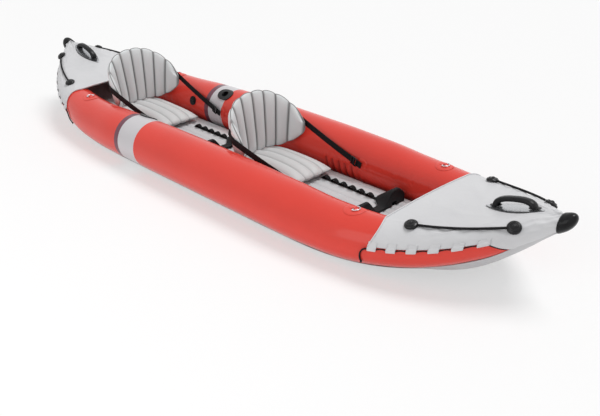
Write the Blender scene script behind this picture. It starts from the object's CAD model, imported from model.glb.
"""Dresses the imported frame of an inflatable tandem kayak: skins, seats, cords, fittings and the stage."""

import math

import bpy
from bpy.props import FloatProperty, FloatVectorProperty, IntProperty, PointerProperty
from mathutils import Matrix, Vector


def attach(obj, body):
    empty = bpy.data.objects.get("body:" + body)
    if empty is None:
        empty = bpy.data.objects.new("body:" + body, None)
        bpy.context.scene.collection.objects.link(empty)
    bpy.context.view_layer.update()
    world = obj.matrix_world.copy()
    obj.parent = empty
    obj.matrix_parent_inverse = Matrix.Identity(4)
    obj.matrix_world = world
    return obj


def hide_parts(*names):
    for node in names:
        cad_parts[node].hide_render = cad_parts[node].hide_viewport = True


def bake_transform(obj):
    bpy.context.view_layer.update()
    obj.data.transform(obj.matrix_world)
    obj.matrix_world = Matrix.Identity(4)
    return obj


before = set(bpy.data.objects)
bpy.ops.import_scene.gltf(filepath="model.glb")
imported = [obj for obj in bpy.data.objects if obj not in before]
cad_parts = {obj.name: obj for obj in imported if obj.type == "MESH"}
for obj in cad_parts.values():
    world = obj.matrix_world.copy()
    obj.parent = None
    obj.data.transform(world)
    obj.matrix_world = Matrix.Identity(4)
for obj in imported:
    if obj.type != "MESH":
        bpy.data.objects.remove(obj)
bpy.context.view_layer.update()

bl_info = {
    "name": "Inflatable tandem kayak",
    "version": (1, 0, 0),
    "blender": (4, 5, 0),
    "location": "View3D > Sidebar > Kayak",
    "description": "Builds the skins, seats, cords and fittings of an inflatable tandem kayak",
    "category": "Object",
}


def length(name, words, default):
    return FloatProperty(name=name, description=words, default=default, unit="LENGTH", precision=4)


def share(name, words, default):
    return FloatProperty(name=name, description=words, default=default, precision=3)


def count(name, words, default):
    return IntProperty(name=name, description=words, default=default, min=1)


def paint(name, words, red, green, blue):
    """Colour property from the 0 to 255 values that a screen shows."""
    def linear(c):
        c /= 255
        return c / 12.92 if c <= 0.04045 else ((c + 0.055) / 1.055) ** 2.4
    return FloatVectorProperty(name=name, description=words, subtype="COLOR", size=3, min=0, max=1,
                               default=(linear(red), linear(green), linear(blue)))


class KayakHull(bpy.types.PropertyGroup):
    """Sizes of the hull and its decks"""
    half_length: length("Half length", "From the middle of the hull to a nose", 1.92)
    half_beam: length("Half beam", "From the centre plane to the outside of a side chamber", 0.49)
    tube_radius: length("Chamber radius", "Radius of a side chamber amidships", 0.137)
    tip_radius: length("Tip radius", "Radius that a side chamber tapers to", 0.044)
    pinch: share("Nose pinch", "Share of the radius that the nose is pinched by", 0.32)
    nose_rise: length("Nose rise", "Rise of the keel line at the nose", 0.346)
    rocker_start: share("Rocker start", "Share of the half length where the keel starts to rise", 0.4)
    plan_reach: share("Plan reach", "Share of the half length where the outline would close", 0.982)
    plan_power: share("Plan power", "Fullness of the outline in plan", 4.7)
    sheet: length("Bottom sheet", "Thickness of the bottom sheet", 0.0022)
    gap: length("Skin gap", "Gap between two skins that lie on each other", 0.0006)
    floor: length("Floor", "Thickness of the inflated floor", 0.07)
    floor_length: length("Floor length", "Length of the inflated floor", 2.64)
    floor_tubes: count("Floor tubes", "Number of lengthwise floor tubes", 9)
    deck_length: length("Deck length", "From a deck cover's open edge to the nose", 0.694)
    deck: length("Deck cover", "Thickness of a deck cover", 0.0024)
    crown: length("Deck crown", "Crown of a deck cover between the chambers", 0.01)
    tabs: count("Lacing tabs", "Number of lacing tabs on each side of a deck cover", 6)
    tab_end: length("Last tab", "From the nose to the middle of the foremost tab", 0.262)
    tab_width: length("Tab width", "Width of a lacing tab", 0.04)
    cap_length: length("Nose cap", "Length of a nose cap", 0.062)


class KayakSeats(bpy.types.PropertyGroup):
    """Sizes of the seats and footrests"""
    front: length("Front seat", "Place of the front seat's back edge", 0.095)
    pitch: length("Seat pitch", "Distance between the two seats", 1.145)
    reach: length("Cushion length", "Length of a cushion in front of its back edge", 0.385)
    tail: length("Cushion tail", "Length of a cushion below the backrest", 0.064)
    height: length("Cushion height", "Height of a cushion at its seams", 0.082)
    half: length("Cushion half width", "Half of a cushion's width", 0.172)
    tubes: count("Cushion tubes", "Number of lengthwise cushion tubes", 5)
    back_height: length("Backrest height", "Height of a backrest above its hinge", 0.332)
    back: length("Backrest", "Thickness of a backrest", 0.052)
    back_tubes: count("Backrest tubes", "Number of upright backrest tubes", 8)
    strap: length("Strap width", "Width of the seat webbing", 0.036)
    foot: length("Footrest", "Place of the front footrest's peak", 0.955)
    foot_height: length("Footrest height", "Height of a footrest", 0.074)
    foot_length: length("Footrest length", "Length of a footrest", 0.112)
    loop_run: length("Loop row", "Length of a row of adjusting loops", 0.48)
    loops: count("Loops", "Number of adjusting loops in a row", 8)


class KayakPaint(bpy.types.PropertyGroup):
    """Colours of the finishes"""
    red: paint("Red skin", "Coated fabric of the side chambers", 227, 68, 56)
    grey: paint("Grey skin", "Coated fabric of the decks and the floor", 213, 213, 215)
    band: paint("Band", "Grey band round a side chamber", 206, 203, 206)
    stripe: paint("Stripe", "Dark stripe beside the band", 112, 66, 80)
    cushion: paint("Cushion", "Coated fabric of the seats", 212, 211, 211)
    black: paint("Black", "Moulded black plastic", 16, 16, 18)
    webbing: paint("Webbing", "Woven black webbing", 18, 17, 19)
    silver: paint("Silver", "Glossy silver patch", 172, 174, 178)
    steel: paint("Steel", "Metal of the lifting rings", 200, 200, 204)
    pale: paint("Floor", "Studio floor", 250, 250, 250)


def mix(a, b, t):
    return a + (b - a) * t


def clip(t):
    return min(1.0, max(0.0, t))


def bump(t, width):
    return math.exp(-(t / width) ** 2)


# points of a mesh closer than this are welded
WELD = 0.00001
# pleats of the skin beside the front cushion
PLEATS, PLEAT_START, PLEAT_PITCH = 6, 0.385, 0.045
PLEAT_ANGLE, PLEAT_DEPTH, PLEAT_WIDTH = 197, 0.0095, 0.011
PLEAT_HEIGHTS = (0.03, 0.135)
# band round a chamber and the stripe behind it; how far aft the port one sits and how much narrower it is
BAND_FRONT, BAND_BACK, STRIPE_BACK = -0.412, -0.568, -0.606
PORT_BAND_SHIFT, PORT_BAND_TRIM = 0.068, 0.027
# opening in the port chamber for its rod holder
WELL_RADIUS, WELL_DEPTH = 0.0243, 0.24
WELL_AT, WELL_AXIS = (-0.5083, 0.3176, 0.2004), (-0.392, -0.4615, 0.7958)
# bosses of a deck cord: how far from the nose, and the angle on the chamber
AFT_BOSS, FORE_BOSS = (0.56, 75), (0.186, 45)
# where a seat strap leaves the backrest, across it and up it
WING_ACROSS, WING_UP = 0.95, 0.69


class HullForm:
    """Laws of the hull: one side chamber as a row of circles that rise and close in towards the nose."""
    # where the nose's pinch starts and how far it takes to grow, in shares of the half length
    PINCH_START, PINCH_RUN = 0.85, 0.12
    # angle of a deck cover's lower edge beside the tabs and at the nose, and where it falls between them
    EDGE_ANGLE, NOSE_ANGLE = 10, -45
    FALL_START, FALL_RUN = 1.66, 0.075
    # how far a deck cover's open edge is cut back, and the half width below which its crown fades
    CUT_BACK, CROWN_FADE = 0.02, 0.06

    def __init__(self, h):
        self.half, self.beam, self.mid, self.tip = h.half_length, h.half_beam, h.tube_radius, h.tip_radius
        self.nip, self.lift, self.start = h.pinch, h.nose_rise, h.rocker_start
        self.reach, self.power, self.base = h.plan_reach, h.plan_power, h.sheet + h.gap
        self.gap, self.sheet, self.floor = h.gap, h.sheet, h.floor
        self.mouth = h.half_length - h.cap_length
        self.edge = h.half_length - h.deck_length
        self.crown, self.deck = h.crown, h.deck

    def body(self, x):
        return self.mid - (self.mid - self.tip) * (abs(x) / self.half) ** 3

    def radius(self, x):
        pinch = clip((abs(x) / self.half - self.PINCH_START) / self.PINCH_RUN) ** 2
        return self.body(x) * (1 - self.nip * pinch)

    def side(self, x):
        outer = self.beam * (1 - min(1.0, abs(x) / self.half / self.reach) ** self.power)
        return max(0.0, outer - self.radius(x))

    def height(self, x):
        rise = max(0.0, (abs(x) / self.half - self.start) / (1 - self.start)) ** 2.5
        return self.base + self.lift * rise + self.body(x)

    def keel(self, x):
        return self.height(x) - self.radius(x)

    def floor_top(self, x):
        return self.keel(x) + self.floor

    def skin(self, x, angle, lift=0.0):
        """Point on the port chamber at an angle from outboard over the top, lifted off its skin."""
        a, r = math.radians(angle), self.radius(x) + lift
        return Vector((x, self.side(x) + r * math.cos(a), self.height(x) + r * math.sin(a)))

    def inner(self, x, z):
        return self.side(x) - math.sqrt(max(0.0, self.radius(x) ** 2 - (self.height(x) - z) ** 2))

    def deck_z(self, x, y, lift):
        s, r, z = self.side(x), self.radius(x), self.height(x)
        if abs(y) > s:
            return z + math.sqrt(max(0.0, (r + lift) ** 2 - (abs(y) - s) ** 2))
        return z + r + lift + self.crown * (1 - (y / max(0.001, s)) ** 2) * clip(s / self.CROWN_FADE)

    def hang(self, x):
        """Angle of a deck cover's lower edge, which falls to meet the bottom sheet near the nose."""
        return mix(self.EDGE_ANGLE, self.NOSE_ANGLE, clip((x - self.FALL_START) / self.FALL_RUN) ** 1.2)

    def open_edge(self, angle):
        """Place of a deck cover's open edge, which is cut back where it passes over a chamber."""
        return self.edge + self.CUT_BACK * math.sin(math.pi * clip((90 - angle) / (90 - self.EDGE_ANGLE)))


def form():
    return HullForm(bpy.context.scene.kayak_hull)


def seats():
    return bpy.context.scene.kayak_seats


def paints():
    return bpy.context.scene.kayak_paint


def flipped(p, signs):
    """Point with each coordinate times its sign."""
    return Vector(a * b for a, b in zip(p, signs))


def egg(u, v, across, along, high):
    """Point of a closed egg of three half axes."""
    r, a = math.sin(math.pi * v), 2 * math.pi * u
    return Vector((across * r * math.cos(a), along * r * math.sin(a), high * math.cos(math.pi * v)))


# Modelling


def clear_selection():
    if bpy.context.mode != "OBJECT":
        bpy.ops.object.mode_set(mode="OBJECT")
    bpy.ops.object.select_all(action="DESELECT")


def pick(piece):
    clear_selection()
    piece.select_set(True)
    bpy.context.view_layer.objects.active = piece


def in_edit_mode(piece, *steps):
    """Runs steps on the whole mesh of a piece."""
    pick(piece)
    bpy.ops.object.mode_set(mode="EDIT")
    bpy.ops.mesh.select_all(action="SELECT")
    for step in steps:
        step()
    bpy.ops.object.mode_set(mode="OBJECT")


def face_outwards():
    bpy.ops.mesh.normals_make_consistent(inside=False)


def close_up(piece, weld=WELD, turn=True):
    """Welds what meets, and turns all faces outwards unless told not to."""
    def merge():
        bpy.ops.mesh.remove_doubles(threshold=weld)
    in_edit_mode(piece, merge, *([face_outwards] if turn else []))


def apply(piece, kind, name, **values):
    pick(piece)
    m = piece.modifiers.new(name, kind)
    for key, value in values.items():
        setattr(m, key, value)
    bpy.ops.object.modifier_apply(modifier=m.name)


def thicken(piece, thickness, offset=0):
    """Gives a sheet its thickness: to both sides, or with an offset of 1 to its outer side."""
    apply(piece, "SOLIDIFY", "thickness", thickness=thickness, offset=offset)
    in_edit_mode(piece, face_outwards)


def carve(piece, tool):
    """Cuts a tool's shape out of a piece and removes the tool."""
    apply(piece, "BOOLEAN", "cut", operation="DIFFERENCE", object=tool, solver="EXACT")
    bpy.data.objects.remove(tool)


def smooth(piece):
    pick(piece)
    bpy.ops.object.shade_smooth()


def grid(name, across, along, place, weld=WELD, turn=True):
    """Grid primitive whose every point is laid on a surface: place(u, v) with u and v from 0 to 1."""
    clear_selection()
    bpy.ops.mesh.primitive_grid_add(x_subdivisions=across, y_subdivisions=along, size=1, calc_uvs=True)
    piece = bpy.context.object
    piece.name = piece.data.name = name
    for v in piece.data.vertices:
        v.co = place(v.co.x + 0.5, v.co.y + 0.5)
    close_up(piece, weld, turn)
    smooth(piece)
    return piece


def tube(name, path, radius, corners=10):
    """Round tube along points, closed at both ends."""
    points = [Vector(p) for p in path]
    last = len(points) - 1
    frames = []
    side = None
    for i, p in enumerate(points):
        t = (points[min(last, i + 1)] - points[max(0, i - 1)]).normalized()
        if side is None:
            side = t.orthogonal().normalized()
        side = (side - t * side.dot(t)).normalized()
        frames.append((p, side, t.cross(side)))
    rows = last + 2

    def place(u, v):
        i = min(rows, max(0, round(v * rows)))
        k = min(last, max(0, i - 1))
        p, w, n = frames[k]
        if i in (0, rows):
            return p
        a = 2 * math.pi * u
        return p + radius * (math.cos(a) * w + math.sin(a) * n)
    return grid(name, corners, rows, place, weld=radius * 0.02)


def join(name, pieces):
    clear_selection()
    for p in pieces:
        p.select_set(True)
    bpy.context.view_layer.objects.active = pieces[0]
    if len(pieces) > 1:
        bpy.ops.object.join()
    piece = bpy.context.object
    piece.name = piece.data.name = name
    return piece


def mirrored(piece, name, axis):
    """Copy with its own mesh, mirrored across a plane, its faces turned outwards again."""
    twin = piece.copy()
    twin.data = piece.data.copy()
    twin.name = twin.data.name = name
    bpy.context.scene.collection.objects.link(twin)
    for v in twin.data.vertices:
        v.co[axis] = -v.co[axis]
    in_edit_mode(twin, bpy.ops.mesh.flip_normals)
    return twin


def at_corners(piece, label):
    """A bow port piece and its mirror images at the other three corners, by the corner's name."""
    found = {"bow_port": piece, "bow_starboard": mirrored(piece, f"bow_starboard_{label}", 1)}
    found["stern_port"] = mirrored(piece, f"stern_port_{label}", 0)
    found["stern_starboard"] = mirrored(found["stern_port"], f"stern_starboard_{label}", 1)
    return found


def settle(piece, material, body, slot, *nodes):
    """Gives a finished piece its material, its body and the nodes it stands for."""
    piece.data.materials.clear()
    piece.data.materials.append(material)
    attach(piece, body)
    if nodes:
        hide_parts(*nodes)
    return piece


def settle_pair(piece, twin_name, axis, material, slot, *nodes):
    """Settles a piece on the hull and its mirror image, each for its own node."""
    for p, node in zip((piece, mirrored(piece, twin_name, axis)), nodes):
        settle(p, material, "hull", slot, node)


def dress(material, *nodes):
    """Gives nodes whose shape is right a better material."""
    for name in nodes:
        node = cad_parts[name]
        node.data.materials.clear()
        node.data.materials.append(material)
        pick(node)
        bpy.ops.object.shade_smooth_by_angle(angle=math.radians(35))


def fill_with_air(piece, pinned, pressure, cap, frames=18):
    """Cloth under pressure, held at its seams, with the result kept in the mesh."""
    start = [v.co.copy() for v in piece.data.vertices]
    group = piece.vertex_groups.new(name="seams")
    group.add(pinned, 1.0, "REPLACE")
    pick(piece)
    m = piece.modifiers.new("air", "CLOTH")
    s = m.settings
    s.quality = 5
    s.mass = 0.25
    s.tension_stiffness = s.compression_stiffness = 18
    s.shear_stiffness = 8
    s.bending_stiffness = 0.4
    s.use_pressure = True
    s.uniform_pressure_force = pressure
    s.vertex_group_mass = group.name
    s.effector_weights.gravity = 0
    m.collision_settings.use_collision = False
    scene = bpy.context.scene
    m.point_cache.frame_start, m.point_cache.frame_end = 1, frames
    for f in range(1, frames + 1):
        scene.frame_set(f)
    moved = piece.evaluated_get(bpy.context.evaluated_depsgraph_get()).to_mesh()
    ends = [v.co.copy() for v in moved.vertices]
    piece.modifiers.remove(m)
    piece.vertex_groups.remove(group)
    scene.frame_set(1)
    for v, a, b in zip(piece.data.vertices, start, ends):
        d = b - a
        v.co = a + d * min(1.0, cap / max(1e-9, d.length))


# Finishes


class Finish:
    """A node material with a Principled shader and short calls for the nodes that feed it."""

    def __init__(self, name, roughness, color, **sockets):
        self.material = bpy.data.materials.new(name)
        self.material.use_nodes = True
        self.tree = self.material.node_tree
        self.shader = self.tree.nodes["Principled BSDF"]
        self.shader.inputs["Roughness"].default_value = roughness
        self.shader.inputs["Base Color"].default_value = (*color, 1)
        self.material.diffuse_color = (*color, 1)
        for key, value in sockets.items():
            self.shader.inputs[key.replace("_", " ")].default_value = value
        place = self.node("ShaderNodeTexCoord").outputs
        self.object, self.uv = place["Object"], place["UV"]
        self.tone = None

    def node(self, kind, **inputs):
        return make_node(self.tree, kind, **inputs)

    def link(self, a, b):
        self.tree.links.new(a, b)

    def group(self, maker, **inputs):
        """Places a node group that finishes share, made the first time it is asked for."""
        if maker not in GROUPS:
            GROUPS[maker] = maker()
        n = self.tree.nodes.new("ShaderNodeGroup")
        n.node_tree = GROUPS[maker]
        feed(self.tree, n, inputs)
        return n.outputs

    def paint(self, tone):
        """Feeds the shader a colour that changes over the surface."""
        self.tone = tone
        self.link(tone, self.shader.inputs["Base Color"])

    def gloss(self, value, low, high):
        """Feeds the shader a roughness between two limits."""
        self.link(ramp(self.tree, value, 0.0, 1.0, low, high), self.shader.inputs["Roughness"])

    def relief(self, height, distance, strength=1.0):
        """Feeds a height to the shader's normal, over what already feeds it."""
        b = self.node("ShaderNodeBump", Height=height, Distance=distance, Strength=strength)
        under = self.shader.inputs["Normal"].links
        if under:
            self.link(under[0].from_socket, b.inputs["Normal"])
        self.link(b.outputs["Normal"], self.shader.inputs["Normal"])

    def axes(self, vector):
        return self.node("ShaderNodeSeparateXYZ", Vector=vector).outputs


def feed(tree, node, inputs):
    """Sets a node's inputs, each by its name or by its number as i0, i1 and so on."""
    for key, value in inputs.items():
        numbered = key[0] == "i" and key[1:].isdigit()
        socket = node.inputs[int(key[1:]) if numbered else key.replace("_", " ")]
        if isinstance(value, bpy.types.NodeSocket):
            tree.links.new(value, socket)
        else:
            socket.default_value = value


def make_node(tree, kind, **inputs):
    n = tree.nodes.new(kind)
    for key in ("operation", "wave_type", "bands_direction"):
        if key in inputs:
            setattr(n, key, inputs.pop(key))
    feed(tree, n, inputs)
    return n


def math_node(tree, operation, a, b=0.0, c=0.0):
    return make_node(tree, "ShaderNodeMath", operation=operation, i0=a, i1=b, i2=c).outputs[0]


def between(tree, value, low, high):
    above = math_node(tree, "GREATER_THAN", value, low)
    return math_node(tree, "MULTIPLY", above, math_node(tree, "LESS_THAN", value, high))


def off_centre(tree, value):
    """Distance of a value from the middle of the whole step that it lies in."""
    part = math_node(tree, "FRACT", value)
    return math_node(tree, "ABSOLUTE", math_node(tree, "SUBTRACT", part, 0.5))


def ramp(tree, value, start, stop, first=0.0, last=1.0):
    """Straight ramp of a value, level before its start and after its stop."""
    return make_node(tree, "ShaderNodeMapRange", Value=value, From_Min=start, From_Max=stop,
                     To_Min=first, To_Max=last).outputs["Result"]


def noise(tree, vector, scale, detail, roughness=0.5, distortion=0.0):
    return make_node(tree, "ShaderNodeTexNoise", Vector=vector, Scale=scale, Detail=detail,
                     Roughness=roughness, Distortion=distortion).outputs["Fac"]


def blend_color(tree, factor, a, b, how="MIX"):
    """Mix of two colours; a colour is a socket or three numbers."""
    n = tree.nodes.new("ShaderNodeMix")
    n.data_type, n.blend_type = "RGBA", how
    n.clamp_factor = True
    for socket, value in ((n.inputs[0], factor), (n.inputs[6], a), (n.inputs[7], b)):
        if isinstance(value, bpy.types.NodeSocket):
            tree.links.new(value, socket)
        else:
            socket.default_value = value if isinstance(value, float) else (*value, 1)
    return n.outputs[2]


def new_group(name, inputs, outputs):
    """Empty node group: inputs by name with a default, or None for a vector; outputs are numbers."""
    tree = bpy.data.node_groups.new(name, "ShaderNodeTree")
    for label, default in inputs.items():
        kind = "NodeSocketVector" if default is None else "NodeSocketFloat"
        s = tree.interface.new_socket(name=label, in_out="INPUT", socket_type=kind)
        if default is not None:
            s.default_value = default
    for label in outputs:
        tree.interface.new_socket(name=label, in_out="OUTPUT", socket_type="NodeSocketFloat")
    return tree, tree.nodes.new("NodeGroupInput").outputs, tree.nodes.new("NodeGroupOutput").inputs


def scrim_group():
    """Fine cloth grid that shows through a coated skin, with soft creases over it."""
    tree, given, out = new_group("coated scrim", {"Vector": None, "Threads": 700.0, "Creases": 7.0},
                                 ("Threads", "Creases", "Mottle"))
    where = given["Vector"]
    waves = [make_node(tree, "ShaderNodeTexWave", wave_type="BANDS", bands_direction=axis, Vector=where,
                       Scale=given["Threads"], Distortion=0.4, Detail=0.0).outputs["Fac"] for axis in "XYZ"]
    weave = math_node(tree, "ADD", math_node(tree, "ADD", waves[0], waves[1]), waves[2])
    tree.links.new(weave, out["Threads"])
    creases = noise(tree, where, given["Creases"], detail=3.0, roughness=0.55, distortion=0.6)
    tree.links.new(creases, out["Creases"])
    tree.links.new(noise(tree, where, scale=2.6, detail=2.0), out["Mottle"])
    return tree


def scuff_group():
    """Faint rubs and dust in a smooth surface."""
    tree, given, out = new_group("faint scuffs", {"Vector": None, "Scale": 40.0}, ("Scuffs", "Grain"))
    rubs = noise(tree, given["Vector"], given["Scale"], detail=6.0, roughness=0.65)
    tree.links.new(ramp(tree, rubs, 0.35, 0.75), out["Scuffs"])
    tree.links.new(noise(tree, given["Vector"], scale=900.0, detail=2.0), out["Grain"])
    return tree


def weave_group():
    """Webbing or braid in a piece's own UV: ribs along it and picks across it."""
    tree, given, out = new_group("woven band", {"Vector": None, "Ribs": 9.0, "Picks": 160.0, "Slant": 0.0},
                                 ("Height",))
    place = make_node(tree, "ShaderNodeSeparateXYZ", Vector=given["Vector"]).outputs
    across = math_node(tree, "MULTIPLY", place["X"], given["Ribs"])
    along = math_node(tree, "MULTIPLY", place["Y"], given["Picks"])
    slanted = math_node(tree, "ADD", along, math_node(tree, "MULTIPLY", across, given["Slant"]))
    ribs = math_node(tree, "SINE", math_node(tree, "MULTIPLY", across, 2 * math.pi))
    picks = math_node(tree, "SINE", math_node(tree, "MULTIPLY", slanted, 2 * math.pi))
    tree.links.new(math_node(tree, "MULTIPLY_ADD", ribs, picks, 1.0), out["Height"])
    return tree


GROUPS = {}


def shaded(color, share, more=0.0):
    return [min(1, c * share + more) for c in color]


def coated(name, color, roughness, threads=700.0, creases=7.0, depth=0.0016, **sockets):
    """Coated fabric: a fine thread grid, soft creases and slightly uneven colour."""
    f = Finish(name, roughness, color, **sockets)
    g = f.group(scrim_group, Vector=f.object, Threads=threads, Creases=creases)
    f.paint(blend_color(f.tree, g["Mottle"], shaded(color, 0.9), shaded(color, 1.07)))
    f.gloss(g["Creases"], roughness - 0.05, roughness + 0.07)
    f.relief(g["Creases"], depth, 0.5)
    f.relief(g["Threads"], 0.00008, 0.35)
    return f


def moulded(name, color, roughness, **sockets):
    """Moulded plastic or rubber: fine grain, and rubs that lighten it."""
    f = Finish(name, roughness, color, **sockets)
    g = f.group(scuff_group, Vector=f.object, Scale=38.0)
    f.paint(blend_color(f.tree, g["Scuffs"], color, shaded(color, 1.5, 0.006)))
    f.gloss(g["Scuffs"], roughness - 0.06, roughness + 0.1)
    f.relief(g["Grain"], 0.00012, 0.4)
    return f


def woven(name, color, ribs, picks, slant=0.0, depth=0.0004):
    """Webbing or braid whose threads follow the piece's own UV map."""
    f = Finish(name, 0.72, color, Specular_IOR_Level=0.2)
    height = f.group(weave_group, Vector=f.uv, Ribs=ribs, Picks=picks, Slant=slant)["Height"]
    f.paint(blend_color(f.tree, ramp(f.tree, height, 0.0, 2.0), shaded(color, 0.55), shaded(color, 1.5)))
    f.relief(height, depth, 0.8)
    return f


def darken(f, share):
    """Multiplies a finish's colour by a share that changes over the surface."""
    grey = f.node("ShaderNodeCombineColor", Red=share, Green=share, Blue=share).outputs["Color"]
    f.paint(blend_color(f.tree, 1.0, f.tone, grey, "MULTIPLY"))


def seam_lines(f, channels, width, shade):
    """Darkens the welded seams between the channels of a pad, by the pad's own UV map."""
    across = math_node(f.tree, "MULTIPLY", f.axes(f.uv)["X"], float(channels))
    off = off_centre(f.tree, math_node(f.tree, "ADD", across, 0.5))
    darken(f, ramp(f.tree, off, width, width * 6, shade, 1.0))


def rim_line(f):
    """Darkens the two long edges of a patch, by its own UV map."""
    across = math_node(f.tree, "MULTIPLY_ADD", f.axes(f.uv)["X"], 2.0, -1.0)
    darken(f, ramp(f.tree, math_node(f.tree, "ABSOLUTE", across), 0.78, 0.9, 1.0, 0.1))


def pleat_tone(f):
    """Darker lines in the pleats of the skin beside the front cushion."""
    place = f.axes(f.object)
    step = math_node(f.tree, "MULTIPLY_ADD", place["X"], 1 / PLEAT_PITCH, 0.5 - PLEAT_START / PLEAT_PITCH)
    line = ramp(f.tree, off_centre(f.tree, step), 0.3, 0.02)
    ends = (PLEAT_START - 0.02, PLEAT_START + 4.5 * PLEAT_PITCH)
    for value, (low, high) in ((place["X"], ends), (place["Z"], PLEAT_HEIGHTS)):
        line = math_node(f.tree, "MULTIPLY", line, between(f.tree, value, low, high))
    inboard = math_node(f.tree, "LESS_THAN", math_node(f.tree, "ABSOLUTE", place["Y"]), 0.3)
    line = math_node(f.tree, "MULTIPLY", line, inboard)
    dark = blend_color(f.tree, 1.0, f.tone, (0.58, 0.5, 0.5), "MULTIPLY")
    f.paint(blend_color(f.tree, line, f.tone, dark))


def band_tone(f, p):
    """Grey band round each chamber with a dark stripe on its aft edge; the port one sits further aft."""
    place = f.axes(f.object)
    port = math_node(f.tree, "GREATER_THAN", place["Y"], 0.0)
    x = math_node(f.tree, "MULTIPLY_ADD", port, PORT_BAND_SHIFT, place["X"])
    edge = math_node(f.tree, "MULTIPLY_ADD", port, PORT_BAND_TRIM, x)
    ahead = math_node(f.tree, "GREATER_THAN", x, BAND_BACK)
    band = math_node(f.tree, "MULTIPLY", ahead, math_node(f.tree, "LESS_THAN", edge, BAND_FRONT))
    f.paint(blend_color(f.tree, band, f.tone, p.band))
    f.paint(blend_color(f.tree, between(f.tree, x, STRIPE_BACK, BAND_BACK), f.tone, p.stripe))


def red_skin(p):
    f = coated("red coated fabric", p.red, 0.3, Coat_Weight=0.5, Coat_Roughness=0.12, Specular_IOR_Level=0.05)
    pleat_tone(f)
    band_tone(f, p)
    return f


def pad_skin(name, color, tint, channels, shade):
    """Fabric of a seat's pad, darker along its seams."""
    f = coated(name, [c * k for c, k in zip(color, tint)], 0.5, threads=900.0, creases=16.0, depth=0.003)
    seam_lines(f, channels, 0.022, shade)
    return f


def cushion_skin(p):
    return pad_skin("cushion fabric", p.cushion, (0.95, 0.96, 0.96), seats().tubes, 0.72)


def backrest_skin(p):
    return pad_skin("backrest fabric", p.cushion, (1.1, 1.16, 1.17), seats().back_tubes, 0.3)


def silver_patch(p):
    f = coated("silver patch", p.silver, 0.2, creases=22.0, depth=0.004, Metallic=0.75, Coat_Weight=0.6,
               Coat_Roughness=0.08)
    rim_line(f)
    return f


def footrest_skin(p):
    return coated("black footrest fabric", p.webbing, 0.6, threads=650.0, creases=20.0, depth=0.003,
                  Specular_IOR_Level=0.2)


def bright_steel(p):
    f = Finish("bright steel", 0.24, p.steel, Metallic=1.0)
    f.gloss(f.group(scuff_group, Vector=f.object, Scale=160.0)["Scuffs"], 0.18, 0.38)
    return f


MAKERS = {
    "red": red_skin,
    "patch_red": lambda p: coated("red patch", p.red, 0.42),
    "grey": lambda p: coated("grey coated fabric", p.grey, 0.42, creases=8.0, depth=0.011),
    "floor": lambda p: coated("grey floor fabric", shaded(p.grey, 0.93), 0.46, creases=11.0),
    "bottom": lambda p: coated("grey bottom fabric", shaded(p.grey, 0.85), 0.42, creases=6.0),
    "cushion": cushion_skin,
    "backrest": backrest_skin,
    "piping": lambda p: coated("seat piping", shaded(p.cushion, 0.4), 0.5, threads=1200.0, creases=30.0),
    "silver": silver_patch,
    "black": lambda p: moulded("black plastic", p.black, 0.38, Specular_IOR_Level=0.25),
    "gloss": lambda p: moulded("glossy black plastic", p.black, 0.2, Specular_IOR_Level=0.25),
    "rubber": lambda p: moulded("black rubber", shaded(p.black, 0.7), 0.2, Specular_IOR_Level=0.18),
    "grip": lambda p: moulded("grip rubber", p.black, 0.3, Specular_IOR_Level=0.2),
    "foam": footrest_skin,
    "webbing": lambda p: woven("black webbing", p.webbing, 8.0, 150.0),
    "braid": lambda p: woven("black braid", p.webbing, 6.0, 120.0, slant=1.0, depth=0.0006),
    "steel": bright_steel,
}
FINISHES = {}


def finish(name):
    """Material of a finish, made the first time it is asked for."""
    if name not in FINISHES:
        FINISHES[name] = MAKERS[name](paints()).material
    return FINISHES[name]


# Pieces


class KAYAK_OT_chambers(bpy.types.Operator):
    """Side chambers, with the pulled creases where the hull bends"""
    bl_idname = "kayak.chambers"
    bl_label = "Side chambers"

    def execute(self, context):
        f = form()
        end = f.mouth + 0.012
        ribs = 420
        creases = []
        for k in range(PLEATS):
            angle, depth = PLEAT_ANGLE + 4 * (k % 2), PLEAT_DEPTH - 0.001 * abs(k - 2)
            creases.append((PLEAT_START + PLEAT_PITCH * k, angle, depth))
        creases += [(0.86 + 0.1 * k, 150 + 8 * k, 0.002) for k in range(4)]
        creases += [(-0.95 - 0.07 * k, 190, 0.002) for k in range(4)]

        def relief(x, a):
            d = 0.0
            for cx, ca, depth in creases:
                d -= depth * bump(x - cx, PLEAT_WIDTH) * bump(a - ca, 20)
                d += 0.5 * depth * bump(x - cx - 0.02, PLEAT_WIDTH) * bump(a - ca, 22)
            # soft swell between the welded rings of the skin
            d += 0.0008 * (math.cos(2 * math.pi * x / 0.36) - 1) * clip((abs(x) - 0.3) / 0.4)
            # drawn in below the deck covers
            d -= 0.0045 * clip((abs(x) - f.edge - 0.02) / 0.03) * clip((a - 15) / 8) * clip((215 - a) / 8)
            return d

        def place(u, v):
            i = round(v * ribs)
            x = mix(-end, end, clip((i - 1) / (ribs - 2)))
            if i in (0, ribs):
                return Vector((x, f.side(x), f.height(x)))
            a = 360 * u
            p = f.skin(x, a, relief(x, a % 360))
            p.y = max(0.0003, p.y)
            return p
        port = grid("port_chamber_skin", 72, ribs, place)
        clear_selection()
        bpy.ops.mesh.primitive_cylinder_add(vertices=48, radius=WELL_RADIUS, depth=WELL_DEPTH,
                                            location=WELL_AT)
        well = context.object
        well.rotation_euler = Vector(WELL_AXIS).to_track_quat("Z", "Y").to_euler()
        carve(port, well)
        settle_pair(port, "starboard_chamber_skin", 1, finish("red"), "red_pvc",
                    "port_chamber", "starboard_chamber")
        return {"FINISHED"}


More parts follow.
